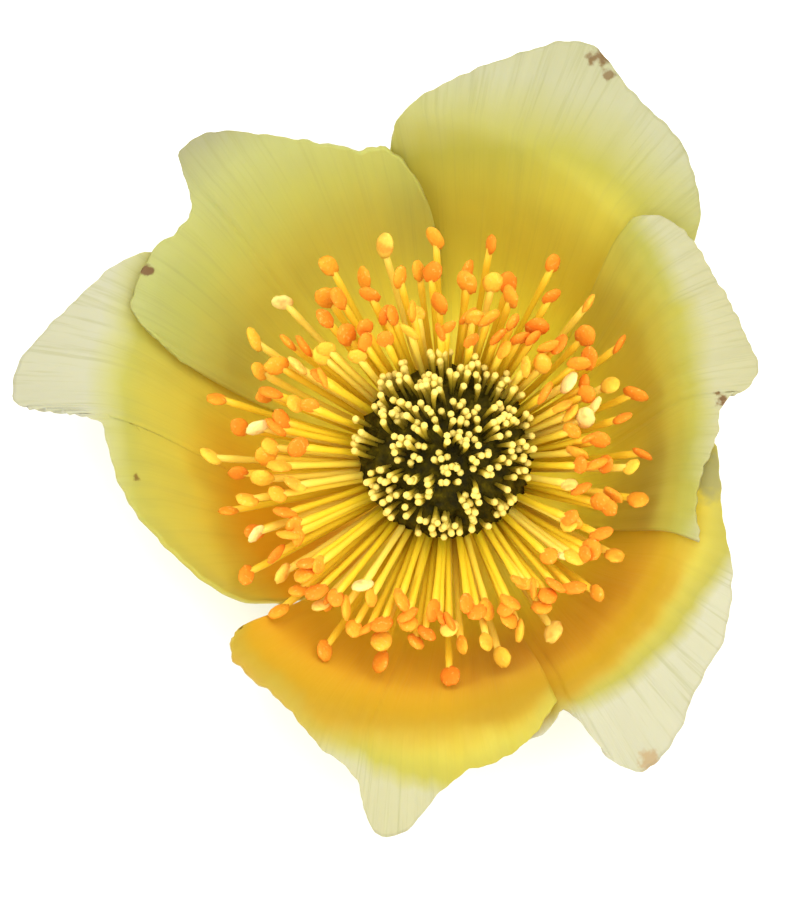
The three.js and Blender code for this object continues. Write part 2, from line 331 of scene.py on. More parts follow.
# %% A blade's unevenness
WHORL_GAP = 0.9  # mm, from the outer whorl's bowl to the inner whorl's
MARGIN_WAVE = 0.04  # mm
PLEAT = 0.045  # mm
CRINKLE = 0.07  # mm
CRINKLE_ROW = 0.72  # the share of the rows past which the blade crinkles
RIPPLE_FROM = 0.8  # the share of the way to the crest past which it ripples


def margin_wave(u, salt):
    return MARGIN_WAVE * np.sin(u * 97 + salt) + MARGIN_WAVE * np.sin(u * 171 + 2 * salt)


def lift_off_bowl(tepal, u, v, bearing, reach):
    """How far each point of a blade stands off the bowl, in mm."""
    salt = tepal["bearing"]
    past = np.clip(reach / crest_radius(bearing) - RIPPLE_FROM, 0, 0.5)
    waves = np.sin(bearing * 13 + salt) + 0.7 * np.sin(bearing * 29 + salt * 2)
    ripple = tepal["ripple"] * past * (waves + 0.4 * np.sin(bearing * 53 + salt))
    pleat = PLEAT * np.sin(u * 61 + 3 * np.sin(u * 17 + salt)) * np.clip(v * 2, 0, 1)
    near_margin = np.clip((v - CRINKLE_ROW) / (1 - CRINKLE_ROW), 0, 1) ** 1.5
    crinkle = CRINKLE * np.sin(u * 142 + 4 * np.sin(u * 23 + salt)) * near_margin
    return tepal["whorl"] * WHORL_GAP + ripple + pleat + crinkle


# %% A blade on the bowl
COLUMNS, ROWS = 110, 70
CREST_ROW = 0.7  # the share of the rows that lies below the crest
FAN_ROW = 0.75  # by this share of the rows, the columns point straight out
FOLD_SHARE = 0.88  # the crest's row lies at most this share of the way to the margin
BLADE = 0.34  # mm, a tepal's thickness


def make_tepal(tepal):
    bpy.ops.object.select_all(action="DESELECT")
    bpy.ops.mesh.primitive_grid_add(x_subdivisions=COLUMNS, y_subdivisions=ROWS, size=1, location=(0, 0, 0))
    piece = bpy.context.active_object
    piece.name = piece.data.name = "visual_" + tepal["name"]
    for side in ("inside", "outside"):
        piece.data.materials.append(finish_called(f"{side} of {tepal['name']}"))
    flat = vertices_of(piece)
    column = np.rint((0.5 - flat[:, 0]) * COLUMNS).astype(int)
    u, v = column / COLUMNS, np.clip(flat[:, 1] + 0.5, 0, 1)
    end_bearing, end_reach = (values[column] for values in even_margin(tepal, COLUMNS + 1))
    end_reach = end_reach + margin_wave(u, tepal["bearing"])
    first, last = np.radians(tepal["base"])
    fold = np.minimum(crest_radius(end_bearing), BASE_RADIUS + FOLD_SHARE * (end_reach - BASE_RADIUS))
    inner = BASE_RADIUS + (fold - BASE_RADIUS) * v / CREST_ROW
    outer = fold + (end_reach - fold) * (v - CREST_ROW) / (1 - CREST_ROW)
    reach = np.where(v < CREST_ROW, inner, outer)
    start = first + (last - first) * u
    fan = np.clip(v / FAN_ROW, 0, 1)
    bearing = start + (end_bearing - start) * fan * fan * (3 - 2 * fan)
    where = (bearing, reach, math.radians(tepal["bearing"]), tepal["tip_lift"])
    away = lift_off_bowl(tepal, u, v, bearing, reach)
    move_vertices(piece, in_frame(bowl_point(*where) + bowl_normal(*where) * away[:, None]))
    lay_uv(piece, Blade=(u, 0.5 * reach / crest_radius(bearing)), Rows=(u, v))
    apply_modifier(piece, "SOLIDIFY", thickness=BLADE * MM, offset=0, material_offset=1, material_offset_rim=0)
    bpy.ops.object.shade_smooth()
    return piece


tepal_pieces = [make_tepal(tepal) for tepal in TEPALS]
for tepal, piece in zip(TEPALS, tepal_pieces):
    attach(piece, "root")
    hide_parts(tepal["name"])
    print(piece.name, "faces:", len(piece.data.polygons))

# %% [markdown]
# ## Receptacle and stalk
#
# Under the tepals is a small cone of tissue, and below it the cut stalk. It starts as a
# cylinder standing on the cut, whose top is drawn up and in ring by ring. Extruding and
# scaling faces is how such a turned form is made by hand.

# %% Receptacle
STALK_RINGS = [  # radius and height, mm
    (1.36, 0.05), (1.4, 0.9), (1.75, 1.3), (2.5, 1.6), (3.4, 1.85), (3.9, 2.5), (4.1, 3.1),
    (4.15, 3.7), (3.8, 4.9), (3.2, 6.2),
]
STALK_CORNER = math.radians(50)  # an edge sharper than this is rounded


def select_flat_face(piece, height):
    """Goes into edit mode with only the level face at this height (mm) selected."""
    bpy.ops.object.mode_set(mode="EDIT")
    bpy.ops.mesh.select_all(action="DESELECT")
    bpy.ops.object.mode_set(mode="OBJECT")
    for face in piece.data.polygons:
        level = abs(face.normal.z) > 0.99
        face.select = level and abs(face.center.z - (axis_foot[2] + height * MM)) < 1e-5
    bpy.ops.object.mode_set(mode="EDIT")
    bpy.ops.mesh.select_mode(type="FACE")


def make_receptacle():
    (first_radius, first_height), (second_radius, second_height) = STALK_RINGS[:2]
    bpy.ops.object.select_all(action="DESELECT")
    bpy.ops.mesh.primitive_cylinder_add(
        vertices=40,
        radius=first_radius * MM,
        depth=(second_height - first_height) * MM,
        location=in_frame((0, 0, (first_height + second_height) / 2)),
    )
    piece = bpy.context.active_object
    piece.name = piece.data.name = "visual_receptacle"
    piece.data.materials.append(finish_called("stalk"))
    bpy.ops.object.transform_apply(location=True, rotation=False, scale=False)
    radius, height = first_radius, second_height
    for next_radius, next_height in STALK_RINGS[2:]:
        select_flat_face(piece, height)
        rise = (0, 0, (next_height - height) * MM)
        bpy.ops.mesh.extrude_region_move(TRANSFORM_OT_translate={"value": rise})
        grow = next_radius / radius
        bpy.ops.transform.resize(value=(grow, grow, 1), center_override=in_frame((0, 0, next_height)))
        bpy.ops.object.mode_set(mode="OBJECT")
        radius, height = next_radius, next_height
    rounding = dict(width=0.15 * MM, segments=3, limit_method="ANGLE", angle_limit=STALK_CORNER)
    apply_modifier(piece, "BEVEL", **rounding)
    only(piece)
    bpy.ops.object.shade_smooth_by_angle(angle=STALK_CORNER)
    return piece


receptacle = make_receptacle()
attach(receptacle, "root")
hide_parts("receptacle_and_stalk")
print("receptacle faces:", len(receptacle.data.polygons))

# %% [markdown]
# ## One filament and one anther
#
# Every stamen is the same two shapes: a filament, a soft thread that swells a little below
# its anther, and the anther, two pollen sacs side by side. Each is modelled once, upright
# and one unit or one millimetre large, and copied for every stamen.

# %% The filament's pattern
FILAMENT_RINGS = np.arange(0.125, 1, 0.125)


def make_thread(finish, sides, rings):
    """An upright cylinder one unit tall, cut at these heights so that it can bend and swell."""
    at = (0, 0, 0.5)
    bpy.ops.object.select_all(action="DESELECT")
    bpy.ops.mesh.primitive_cylinder_add(vertices=sides, radius=1, depth=1, location=at, end_fill_type="NGON")
    pattern = bpy.context.active_object
    pattern.data.materials.append(finish_called(finish))
    bpy.ops.object.transform_apply(location=True, rotation=False, scale=False)
    bpy.ops.object.mode_set(mode="EDIT")
    for height in rings:
        bpy.ops.mesh.select_all(action="SELECT")
        bpy.ops.mesh.bisect(plane_co=(0, 0, height), plane_no=(0, 0, 1))
    bpy.ops.object.mode_set(mode="OBJECT")
    bpy.ops.object.shade_smooth()
    return pattern


filament_pattern = make_thread("filament", 6, FILAMENT_RINGS)
print("filament faces:", len(filament_pattern.data.polygons))


# %% The anther's pattern
GROOVE_HALF_WIDTH = 0.15  # of the anther's own half width
GROOVE_DEPTH = 0.55  # how much of its thickness the groove leaves


def make_anther():
    bpy.ops.object.select_all(action="DESELECT")
    bpy.ops.mesh.primitive_uv_sphere_add(segments=12, ring_count=8, radius=1, location=(0, 0, 0))
    pattern = bpy.context.active_object
    pattern.data.materials.append(finish_called("anther"))
    for vertex in pattern.data.vertices:
        near_middle = abs(vertex.co.x) < GROOVE_HALF_WIDTH
        vertex.select = near_middle and abs(vertex.co.z) < 0.95
    bpy.ops.object.mode_set(mode="EDIT")
    bpy.ops.transform.resize(value=(1, GROOVE_DEPTH, 0.94), center_override=(0, 0, 0))
    bpy.ops.object.mode_set(mode="OBJECT")
    bpy.ops.object.shade_smooth()
    return pattern


anther_pattern = make_anther()
print("anther faces:", len(anther_pattern.data.polygons))

# %% [markdown]
# ## Laying a pattern along an arc
#
# A filament leaves the receptacle sideways and arches up. Its pattern's height becomes the
# way along a three-point curve, and its width stands square to that curve. The same
# function lays the styles of the pistils later on.

# %% Arcs
def arc_frame(start, bend, end, t):
    """Points and unit tangents of a three-point curve at the shares t."""
    t = np.asarray(t, float)[:, None]
    point = (1 - t) ** 2 * start + 2 * t * (1 - t) * bend + t**2 * end
    tangent = 2 * (1 - t) * (bend - start) + 2 * t * (end - bend)
    return point, tangent / np.linalg.norm(tangent, axis=1, keepdims=True)


def square_to(tangent, sideways):
    """Two unit directions square to each tangent, the first as near sideways as it can be."""
    across = sideways - (tangent @ sideways)[:, None] * tangent
    across = across / np.linalg.norm(across, axis=1, keepdims=True)
    return across, np.cross(tangent, across)


def lay_along(pattern, start, bend, end, thickness, sideways):
    """A copy of an upright pattern laid along an arc, as thick as thickness(t) says."""
    shape = vertices_of(pattern)
    t = np.clip(shape[:, 2], 0, 1)
    point, tangent = arc_frame(start, bend, end, t)
    across, over = square_to(tangent, sideways)
    radius = thickness(t)[:, None]
    places = point + (across * shape[:, :1] + over * shape[:, 1:2]) * radius
    return t, places


def copy_of(pattern, places, along, tint):
    """A copy of a pattern with its own mesh, its vertices at these places (mm)."""
    twin = pattern.copy()
    twin.data = pattern.data.copy()
    bpy.context.collection.objects.link(twin)
    move_vertices(twin, in_frame(places))
    lay_uv(twin, Growth=(along, np.full_like(along, tint)))
    return twin


def join_as(name, twins):
    """Joins copies into one piece."""
    bpy.ops.object.select_all(action="DESELECT")
    for twin in twins:
        twin.select_set(True)
    bpy.context.view_layer.objects.active = twins[0]
    bpy.ops.object.join()
    piece = bpy.context.active_object
    piece.name = piece.data.name = name
    return piece


# %% [markdown]
# ## The stamens
#
# They stand in whorls. The outermost leave the receptacle lowest and reach furthest, and
# each whorl inside it stands a little higher and reaches less far, so none cross. The whole
# fan follows the bowl's lean, and spreads more on the side where the cup is deepest.

# %% Whorls of stamens
WHORLS = [
    dict(name="stamens_a", count=24, turn=0, base=(4.5, 4.35), tip=(15.3, 10.2), rise=3.2, sag=1.6),
    dict(name="stamens_b", count=24, turn=7.5, base=(4.25, 5.25), tip=(13.4, 11.4), rise=2.4, sag=1.3),
    dict(name="stamens_c", count=36, turn=3, base=(3.95, 5.7), tip=(11.8, 12.6), rise=1.6, sag=1.1),
    dict(name="stamens_d", count=36, turn=11, base=(3.7, 6.1), tip=(10.5, 13.3), rise=1.0, sag=0.9),
    dict(name="stamens_e", count=30, turn=5, base=(3.5, 6.3), tip=(9.3, 13.8), rise=0.4, sag=0.6),
    dict(name="stamens_f", count=24, turn=14, base=(3.4, 6.4), tip=(8.3, 13.8), rise=0.0, sag=0.4),
]
for whorl, spread, stray in zip(WHORLS, (0, 0, 1.6, 2.2, 2.8, 3.2), (0.6, 0.6, 0.9, 0.9, 0.8, 0.6)):
    whorl.update(spread=spread, stray=stray)
STAMEN_SHIFT = (-0.4, -0.6)
print("stamens:", sum(whorl["count"] for whorl in WHORLS))


# %% One stamen's arc
def stamen_arc(whorl, index):
    """The arc of one stamen's filament, and the unevenness that is its own."""
    salt = whorl["turn"] + 1
    bearing = math.radians(360 / whorl["count"] * index + whorl["turn"])
    tip_bearing = bearing + math.radians(2.2 * wobble(index, salt))
    lower_side = 0.5 - 0.5 * math.sin(bearing)
    steep_side = 0.5 + 0.5 * math.cos(bearing)
    reach = whorl["tip"][0] + whorl["stray"] * wobble(index, salt + 1)
    reach += whorl["spread"] * lower_side - 1.1 * steep_side
    height = whorl["tip"][1] + 0.4 * wobble(index, salt + 2)
    height += whorl["rise"] * steep_side - 0.3 * whorl["spread"] * lower_side
    base_radius, base_height = whorl["base"]
    start = np.array([base_radius * math.cos(bearing), base_radius * math.sin(bearing), base_height])
    end = np.array([
        STAMEN_SHIFT[0] + reach * math.cos(tip_bearing),
        STAMEN_SHIFT[1] + reach * math.sin(tip_bearing),
        height,
    ])
    bend = start + (end - start) * 0.55
    bend[2] -= whorl["sag"]
    return start, bend, end


# %% One stamen
FILAMENT_RADIUS = 0.28
ANTHER_HALF = np.array([0.68, 0.5, 0.98])  # width, depth, length in mm
ANTHER_ROLL = math.radians(70)
ANTHER_NOD = 0.35
ANTHER_SPREAD = 0.14  # how much anthers differ in size
ANTHER_LUMPS = 0.07
ANTHER_SEAT = 0.3  # mm from the filament's end to the anther's middle


def filament_thickness(t):
    return FILAMENT_RADIUS * (1.05 - 0.35 * t + 0.3 * np.exp(-(((t - 0.9) / 0.12) ** 2)))


def make_stamen(whorl, index):
    salt = whorl["turn"] + 1
    start, bend, end = stamen_arc(whorl, index)
    sideways = np.array([-end[1], end[0], 0.0])
    sideways /= np.linalg.norm(sideways)
    tint = 0.5 + 0.5 * wobble(index, salt + 4)
    t, places = lay_along(filament_pattern, start, bend, end, filament_thickness, sideways)
    filament = copy_of(filament_pattern, places, t, tint)
    _, tangent = arc_frame(start, bend, end, [1.0])
    roll = ANTHER_ROLL * wobble(index, salt + 5)
    across, over = square_to(tangent, sideways)
    wide = math.cos(roll) * across + math.sin(roll) * over
    deep = math.cos(roll) * over - math.sin(roll) * across
    nod = tangent[0] + ANTHER_NOD * wobble(index, salt + 6) * sideways
    nod /= np.linalg.norm(nod)
    shape = vertices_of(anther_pattern) * ANTHER_HALF * (1 + ANTHER_SPREAD * wobble(index, salt + 7))
    shape *= np.array([[1 + ANTHER_LUMPS * wobble(i, salt + index)] for i in range(len(shape))])
    places = end + shape[:, :1] * wide + shape[:, 1:2] * deep + (shape[:, 2:] + ANTHER_SEAT) * nod
    return [filament, copy_of(anther_pattern, places, 0.5 + shape[:, 2] / 2.4, tint)]


# %% All the stamens
SOLID_STAMENS = 48  # the solid model has the two outer whorls

stamen_pieces = []
node_number = 0
for whorl in WHORLS:
    twins = [twin for i in range(whorl["count"]) for twin in make_stamen(whorl, i)]
    piece = join_as("visual_" + whorl["name"], twins)
    stamen_pieces.append(piece)
    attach(piece, "root")
    if node_number < SOLID_STAMENS:
        nodes = [f"stamen_{node_number + i + 1:02d}" for i in range(whorl["count"])]
        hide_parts(*nodes)
        node_number += whorl["count"]
    print(piece.name, "faces:", len(piece.data.polygons))

# %% [markdown]
# ## The pistils
#
# The middle of the blossom is a dome of small ovaries, dark olive and darkened further with
# painted shade. From each grows a style, which ends in a cream, rounded stigma. The styles
# stand as close as the bristles of a brush, and each curls its own way. The dome is a sphere
# whose lower half is drawn in to the receptacle, and its surface is made lumpy by the ovaries.

# %% The ovaries
OVARY_RADIUS, OVARY_MIDDLE, OVARY_RISE, OVARY_DROP = 5.9, 8.8, 3.0, 2.1
OVARY_LUMPS = 0.07
OVARY_NARROWING = 0.25  # how much the dome draws in at its foot


def make_ovaries():
    bpy.ops.object.select_all(action="DESELECT")
    bpy.ops.mesh.primitive_ico_sphere_add(subdivisions=5, radius=1, location=(0, 0, 0))
    piece = bpy.context.active_object
    piece.data.materials.append(finish_called("ovary"))
    unit = vertices_of(piece)
    bearing, rise = np.arctan2(unit[:, 1], unit[:, 0]), unit[:, 2]
    lump = OVARY_LUMPS * np.sin(bearing * 22 + 6 * rise) * np.sin(rise * 26 + np.sin(bearing * 5))
    wide = OVARY_RADIUS * (1 + lump)
    tall = np.where(rise > 0, OVARY_RISE, OVARY_DROP) * (1 + lump)
    wide = wide * np.where(rise > 0, 1, 1 - OVARY_NARROWING * rise**2)
    places = np.stack([unit[:, 0] * wide, unit[:, 1] * wide, OVARY_MIDDLE + rise * tall], axis=1)
    move_vertices(piece, in_frame(places))
    lay_uv(piece, Growth=np.zeros((2, len(places))))
    only(piece)
    bpy.ops.object.shade_smooth()
    return piece


ovaries = make_ovaries()
print("ovary faces:", len(ovaries.data.polygons))


# %% The style's pattern
STYLE_RINGS = (0.25, 0.5, 0.7, 0.8, 0.84, 0.87, 0.9, 0.93, 0.96, 0.98, 0.992)
style_pattern = make_thread("style", 7, STYLE_RINGS)
print("style faces:", len(style_pattern.data.polygons))

# %% [markdown]
# The styles are set out as seeds are in a sunflower, each turned by the golden angle from
# the last. Each is then drawn towards the nearest of a few tufts, which lean their own way,
# and shaken a little. A stigma is a knob at the style's end, rounded by thinning the last
# rings as a circle's edge does.

# %% A style's thickness and place
PISTIL_RADIUS = 6.9  # mm: the disc that the styles are set out on
KNOB_RADIUS = 0.26  # mm
KNOB_FROM = 0.92  # the share of a style's length at which its knob is widest
GOLDEN = math.pi * (3 - math.sqrt(5))


def style_thickness(t):
    stalk = np.where(t < KNOB_FROM, 0.12 + 0.09 * np.clip((t - 0.5) / 0.35, 0, 1), 0.02)
    knob = KNOB_RADIUS * np.sqrt(np.clip(1 - ((t - KNOB_FROM) / (1 - KNOB_FROM)) ** 2, 0, 1))
    return np.maximum(stalk, knob)


def golden_place(index, count, radius):
    """The place of one of count points spread evenly over a disc, in mm."""
    reach = radius * math.sqrt((index + 0.5) / count)
    return np.array([reach * math.cos(index * GOLDEN), reach * math.sin(index * GOLDEN), 0.0])


print("outermost of three places, mm:", np.round(golden_place(2, 3, PISTIL_RADIUS), 1))


# %% One style
STYLE_COUNT = 280
STIGMA_HEIGHT = 15.3  # mm: the top of the tallest
STYLE_LENGTH = 4.4  # mm
BRUSH_RADIUS = 6.5  # mm: no stigma's centre reaches further
TUFT_COUNT = 21
TUFT_LEAN = 0.45  # mm
STYLE_SHAKE = 0.3  # mm
ROOT_SHARE = 0.56  # a style's root lies this share of its place from the axis
TUFTS = [golden_place(i, TUFT_COUNT, PISTIL_RADIUS) for i in range(TUFT_COUNT)]


def make_one_style(index):
    own = golden_place(index, STYLE_COUNT, PISTIL_RADIUS)
    near = min(range(TUFT_COUNT), key=lambda i: np.linalg.norm(TUFTS[i] - own))
    gather = 0.3 + 0.2 * wobble(index, 3)
    lean = TUFT_LEAN * np.array([wobble(near, 20), wobble(near, 21), 0.0])
    end = own + gather * (TUFTS[near] - own) + lean
    end += STYLE_SHAKE * np.array([wobble(index, 1), wobble(index, 2), 0.0])
    end *= min(1.0, BRUSH_RADIUS / np.linalg.norm(end))
    spread = np.linalg.norm(end) / PISTIL_RADIUS
    end[2] = STIGMA_HEIGHT - 2.6 * spread**2.5 - 1.0 * (1 + wobble(index, 5))
    start = np.array([own[0] * ROOT_SHARE, own[1] * ROOT_SHARE, end[2] - STYLE_LENGTH])
    bend = end * 0.7 + start * 0.3 + 0.6 * np.array([wobble(index, 8), wobble(index, 9), 0.0])
    bend[2] = end[2] - 1.5
    sideways = np.array([1.0, 0.0, 0.0])
    t, places = lay_along(style_pattern, start, bend, end, style_thickness, sideways)
    tint = 0.5 + 0.5 * wobble(index, 12)
    return copy_of(style_pattern, places, t, tint)


# %% All the pistils
pistils = join_as("visual_pistils", [make_one_style(i) for i in range(STYLE_COUNT)] + [ovaries])
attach(pistils, "root")
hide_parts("pistils")
print("pistil faces:", len(pistils.data.polygons))

for pattern in (filament_pattern, anther_pattern, style_pattern):
    bpy.data.objects.remove(pattern, do_unlink=True)

# %% [markdown]
# ## Writing a material as arithmetic
#
# A finish is a network of nodes. Written by hand it is long, so a small class wraps a
# socket: adding or multiplying two of them adds the Math node that does it, and one method
# adds any other node.

# %% A socket that can be reckoned with
class Wire:
    """One output of a node. Arithmetic on it adds Math nodes."""

    def __init__(self, tree, socket=None):
        self.tree = tree
        self.socket = socket

    def node(self, kind, settings=None, inputs=None, output=0):
        """Adds a node, sets it up, feeds its inputs and returns one of its outputs."""
        made = self.tree.nodes.new(kind)
        for name, value in (settings or {}).items():
            if name == "stops":
                set_stops(made.color_ramp, value)
            else:
                setattr(made, name, value)
        for key, value in (inputs or {}).items():
            if isinstance(value, Wire):
                self.tree.links.new(value.socket, made.inputs[key])
            else:
                made.inputs[key].default_value = value
        return Wire(self.tree, made.outputs[output])

    def math(self, operation, first, second=0.0, third=0.0):
        return self.node("ShaderNodeMath", {"operation": operation}, {0: first, 1: second, 2: third})

    def __add__(self, other):
        return self.math("ADD", self, other)

    def __sub__(self, other):
        return self.math("SUBTRACT", self, other)

    def __mul__(self, other):
        return self.math("MULTIPLY", self, other)

    __radd__ = __add__
    __rmul__ = __mul__

    def __rsub__(self, other):
        return self.math("SUBTRACT", other, self)

    def fade(self, start, end, to_low=0.0, to_high=1.0):
        """This value, smoothly remapped from start..end to to_low..to_high."""
        inputs = {0: self, 1: start, 2: end, 3: to_low, 4: to_high}
        return self.node("ShaderNodeMapRange", {"interpolation_type": "SMOOTHSTEP"}, inputs)

    def mix(self, colour, share):
        """This colour, mixed with another by a share."""
        return self.node("ShaderNodeMix", {"data_type": "RGBA"}, {0: share, 6: self, 7: colour}, 2)

    def ramp(self, stops):
        return self.node("ShaderNodeValToRGB", {"stops": stops}, {0: self})

    def parts(self):
        """The x, y and z of this vector."""
        split = self.node("ShaderNodeSeparateXYZ", None, {0: self}).socket.node
        return [Wire(self.tree, output) for output in split.outputs]


def set_stops(ramp, stops):
    while len(ramp.elements) > 1:
        ramp.elements.remove(ramp.elements[-1])
    for i, (position, colour) in enumerate(stops):
        element = ramp.elements[0] if i == 0 else ramp.elements.new(position)
        element.position = position
        element.color = colour


def srgb(red, green, blue):
    """A colour from 0-255 display values, as the linear colour that a shader needs."""
    def linear(c):
        c /= 255
        return c / 12.92 if c <= 0.04045 else ((c + 0.055) / 1.055) ** 2.4
    return (linear(red), linear(green), linear(blue), 1.0)


# %% Helpers for finishes
def new_material(name):
    """An empty network for the material of this name."""
    made = finish_called(name)
    made.use_nodes = True
    made.node_tree.nodes.clear()
    return Wire(made.node_tree)


def finish_material(shader):
    """Makes this shader the material's surface."""
    output = shader.tree.nodes.new("ShaderNodeOutputMaterial")
    shader.tree.links.new(shader.socket, output.inputs["Surface"])


def grown_coordinates(wire, map_name):
    """The two values of a piece's own UV map."""
    return wire.node("ShaderNodeUVMap", {"uv_map": map_name}).parts()[:2]


def own_place(wire):
    """Each point's place on the piece, in metres."""
    return wire.node("ShaderNodeTexCoord", None, None, 3)


def noise(place, scale, detail=2.0):
    return place.node("ShaderNodeTexNoise", None, {"Vector": place, "Scale": scale, "Detail": detail})


def bumped(height, strength, distance):
    """The normal of a relief whose height from 0 to 1 is a distance in metres."""
    inputs = {"Strength": strength, "Distance": distance, "Height": height}
    return height.node("ShaderNodeBump", None, inputs)


def streaks(wire, along, across, fineness, stretch, seed, detail=3.0):
    """Noise drawn out along a blade, as its veins are."""
    at = wire.node("ShaderNodeCombineXYZ", None, {0: across * fineness, 1: along * stretch, 2: seed})
    inputs = {"Vector": at, "Scale": 1.0, "Detail": detail, "Roughness": 0.6}
    return wire.node("ShaderNodeTexNoise", None, inputs)


# %% [markdown]
# ## The inside of a tepal
#
# The cup is yellow on its wall, with an orange painted shade on its shaded low side. Towards
# the crest a green tinge comes in, and the turned-out brim pales to cream with fine veins.
# Where each change comes is the tepal's own. Veins follow the blade's own map, which fans
# out from its base.
# First come the spots, each ragged round a place on the blade: blemishes, and on one tepal a patch of painted
# shade.

# %% Blemishes and painted shade
def spot(wire, place, grain, centre, radius):
    """1 at a place on the blossom (mm from its axis), fading raggedly to 0 at a radius (mm)."""
    inputs = {0: place, 1: tuple(in_frame(centre))}
    distance = wire.node("ShaderNodeVectorMath", {"operation": "DISTANCE"}, inputs, 1)
    raggedness = min(2.4 * radius, 2.5) * MM
    ragged = distance + (grain - 0.5) * raggedness
    return ragged.fade(0.25 * radius * MM, 0.7 * radius * MM, 1.0, 0.0)


def place_on_tepal(tepal, bearing, reach):
    """The place in mm of a bearing in degrees and a reach in mm on one tepal."""
    where = (math.radians(bearing), reach, math.radians(tepal["bearing"]), tepal["tip_lift"])
    return bowl_point(*where) + bowl_normal(*where) * tepal["whorl"] * WHORL_GAP


print("tip of the first tepal, mm:", np.round(place_on_tepal(TEPALS[0], 66, 28.8), 1))


# %% The colours inside a tepal
DEEP = srgb(255, 232, 52)
YELLOW = srgb(253, 234, 68)
# The oranges of a painted shade on the cup's shaded low side, darker towards the crest.
SHADE_ORANGES = [(0.34, srgb(246, 172, 18)), (0.43, srgb(236, 178, 26)), (0.49, srgb(178, 134, 2))]
VEIN = srgb(138, 138, 84)


def inside_colour(tepal, place, across, along, row, broad, fine):
    """A tepal's colour with its orange painted shade, before its spots, and how far it has paled."""
    cloud = noise(place, 160.0)
    start, end = tepal["fade"]
    uneven = along + (across - 0.5) * tepal["tilt"] + (broad - 0.5) * 0.02 + (cloud - 0.5) * 0.04
    green = srgb(*tepal["green"])
    colour = uneven.ramp([
        (0.2, DEEP),
        (0.5 * (start - 0.25), YELLOW),
        (0.5 * (start + 0.4 * (end - start)), green),
        (0.5 * end, srgb(*tepal["brim"])),
    ])
    brim = uneven.fade(0.5 * start, 0.5 * end)
    colour = colour.mix(VEIN, fine.fade(0.5, 0.68) * (0.1 + brim * 0.24))
    x, y, _ = place.parts()
    # Painted shade: orange laid on the cup's shaded low side, from the belly up towards the crest.
    shaded_side = (x * -0.26 + y * -0.97).fade(-0.004, 0.006)
    rises, full, fails, gone = (0.5 * share for share in tepal["orange_shade"])
    dies_out = 1 - (along + (cloud - 0.5) * 0.06).fade(fails, gone)
    colour = colour.mix(along.ramp(SHADE_ORANGES), shaded_side * along.fade(rises, full) * dies_out * 0.9)
    return colour.mix(green, row.fade(0.8, 1.0) * (1 - brim) * 0.6), brim


# %% [markdown]
# Some light passes through a tepal, so a share of its shader is translucent: little in the
# belly, which lies close to the ground, most on the wall, and less again in the pale brim.

# %% Inside of the tepals
def tepal_inside(tepal):
    wire = new_material("inside of " + tepal["name"])
    across, along = grown_coordinates(wire, "Blade")
    row = grown_coordinates(wire, "Rows")[1]
    place = own_place(wire)
    seed = 0.37 * tepal["bearing"]
    broad = streaks(wire, along, across, 22.0, 3.0, seed)
    fine = streaks(wire, along, across, 120.0, 5.0, seed + 3, 4.0)
    colour, brim = inside_colour(tepal, place, across, along, row, broad, fine)
    grain = noise(place, 1400.0, 3.0)
    # Spots: blemishes, and on the second outer tepal a sage patch of painted shade.
    for bearing, reach, radius, strength, spot_colour in tepal["spots"]:
        mask = spot(wire, place, grain, place_on_tepal(tepal, bearing, reach), radius)
        colour = colour.mix(srgb(*spot_colour), mask * strength)
    blade = wire.node("ShaderNodeBsdfPrincipled", None, {
        "Base Color": colour,
        "Roughness": fine.fade(0.3, 0.7, 0.45, 0.62),
        "Specular IOR Level": 0.3,
        "Normal": bumped(broad * 0.6 + fine * 0.4, 0.35, 0.0002),
        "Sheen Weight": 0.06,
        "Subsurface Weight": 0.2,
        "Subsurface Radius": (1.0, 0.7, 0.2),
        "Subsurface Scale": 0.0005,
    })
    through = wire.node("ShaderNodeBsdfTranslucent", None, {"Color": srgb(252, 224, 60)})
    share = along.fade(0.2, 0.42, 0.04, 0.3) - brim * 0.2
    finish_material(wire.node("ShaderNodeMixShader", None, {0: share, 1: blade, 2: through}))


print("colours along a tepal's inside:", 4 + len(SHADE_ORANGES))

# %% [markdown]
# ## The outside of a tepal
#
# The back of a tepal is duller and greener, with veins that stand out a little and a bloom
# of very fine hairs, which a sheen gives.

# %% Outside of the tepals
def tepal_outside(tepal):
    wire = new_material("outside of " + tepal["name"])
    across, along = grown_coordinates(wire, "Blade")
    seed = 0.37 * tepal["bearing"] + 40
    broad = streaks(wire, along, across, 26.0, 3.0, seed)
    fine = streaks(wire, along, across, 110.0, 5.0, seed + 3, 4.0)
    colour = (along + (broad - 0.5) * 0.08).ramp([
        (0.1, srgb(150, 160, 62)),
        (0.28, srgb(196, 190, 66)),
        (0.44, srgb(206, 204, 104)),
        (0.56, srgb(214, 214, 158)),
    ])
    colour = colour.mix(srgb(140, 148, 70), fine.fade(0.5, 0.66) * 0.4)
    bump = bumped(broad * 0.4 + fine * 0.6, 0.45, 0.00025)
    blade = wire.node("ShaderNodeBsdfPrincipled", None, {
        "Base Color": colour,
        "Roughness": fine.fade(0.3, 0.7, 0.6, 0.75),
        "Normal": bump,
        "Sheen Weight": 0.4,
        "Sheen Roughness": 0.4,
        "Subsurface Weight": 0.15,
        "Subsurface Radius": (1.0, 0.8, 0.3),
        "Subsurface Scale": 0.0005,
    })
    through = wire.node("ShaderNodeBsdfTranslucent", None, {"Color": srgb(236, 212, 90)})
    finish_material(wire.node("ShaderNodeMixShader", None, {0: 0.25, 1: blade, 2: through}))


for tepal in TEPALS:
    tepal_inside(tepal)
    tepal_outside(tepal)
print("tepal finishes:", len(tepal_pieces) * 2)

# %% [markdown]
# ## Filaments and anthers
#
# A filament is a clear yellow that greens towards its foot. An anther is orange and grainy
# with pollen; a few have shed theirs and are pale. Each stamen's own number, kept in its
# map, picks its shade.

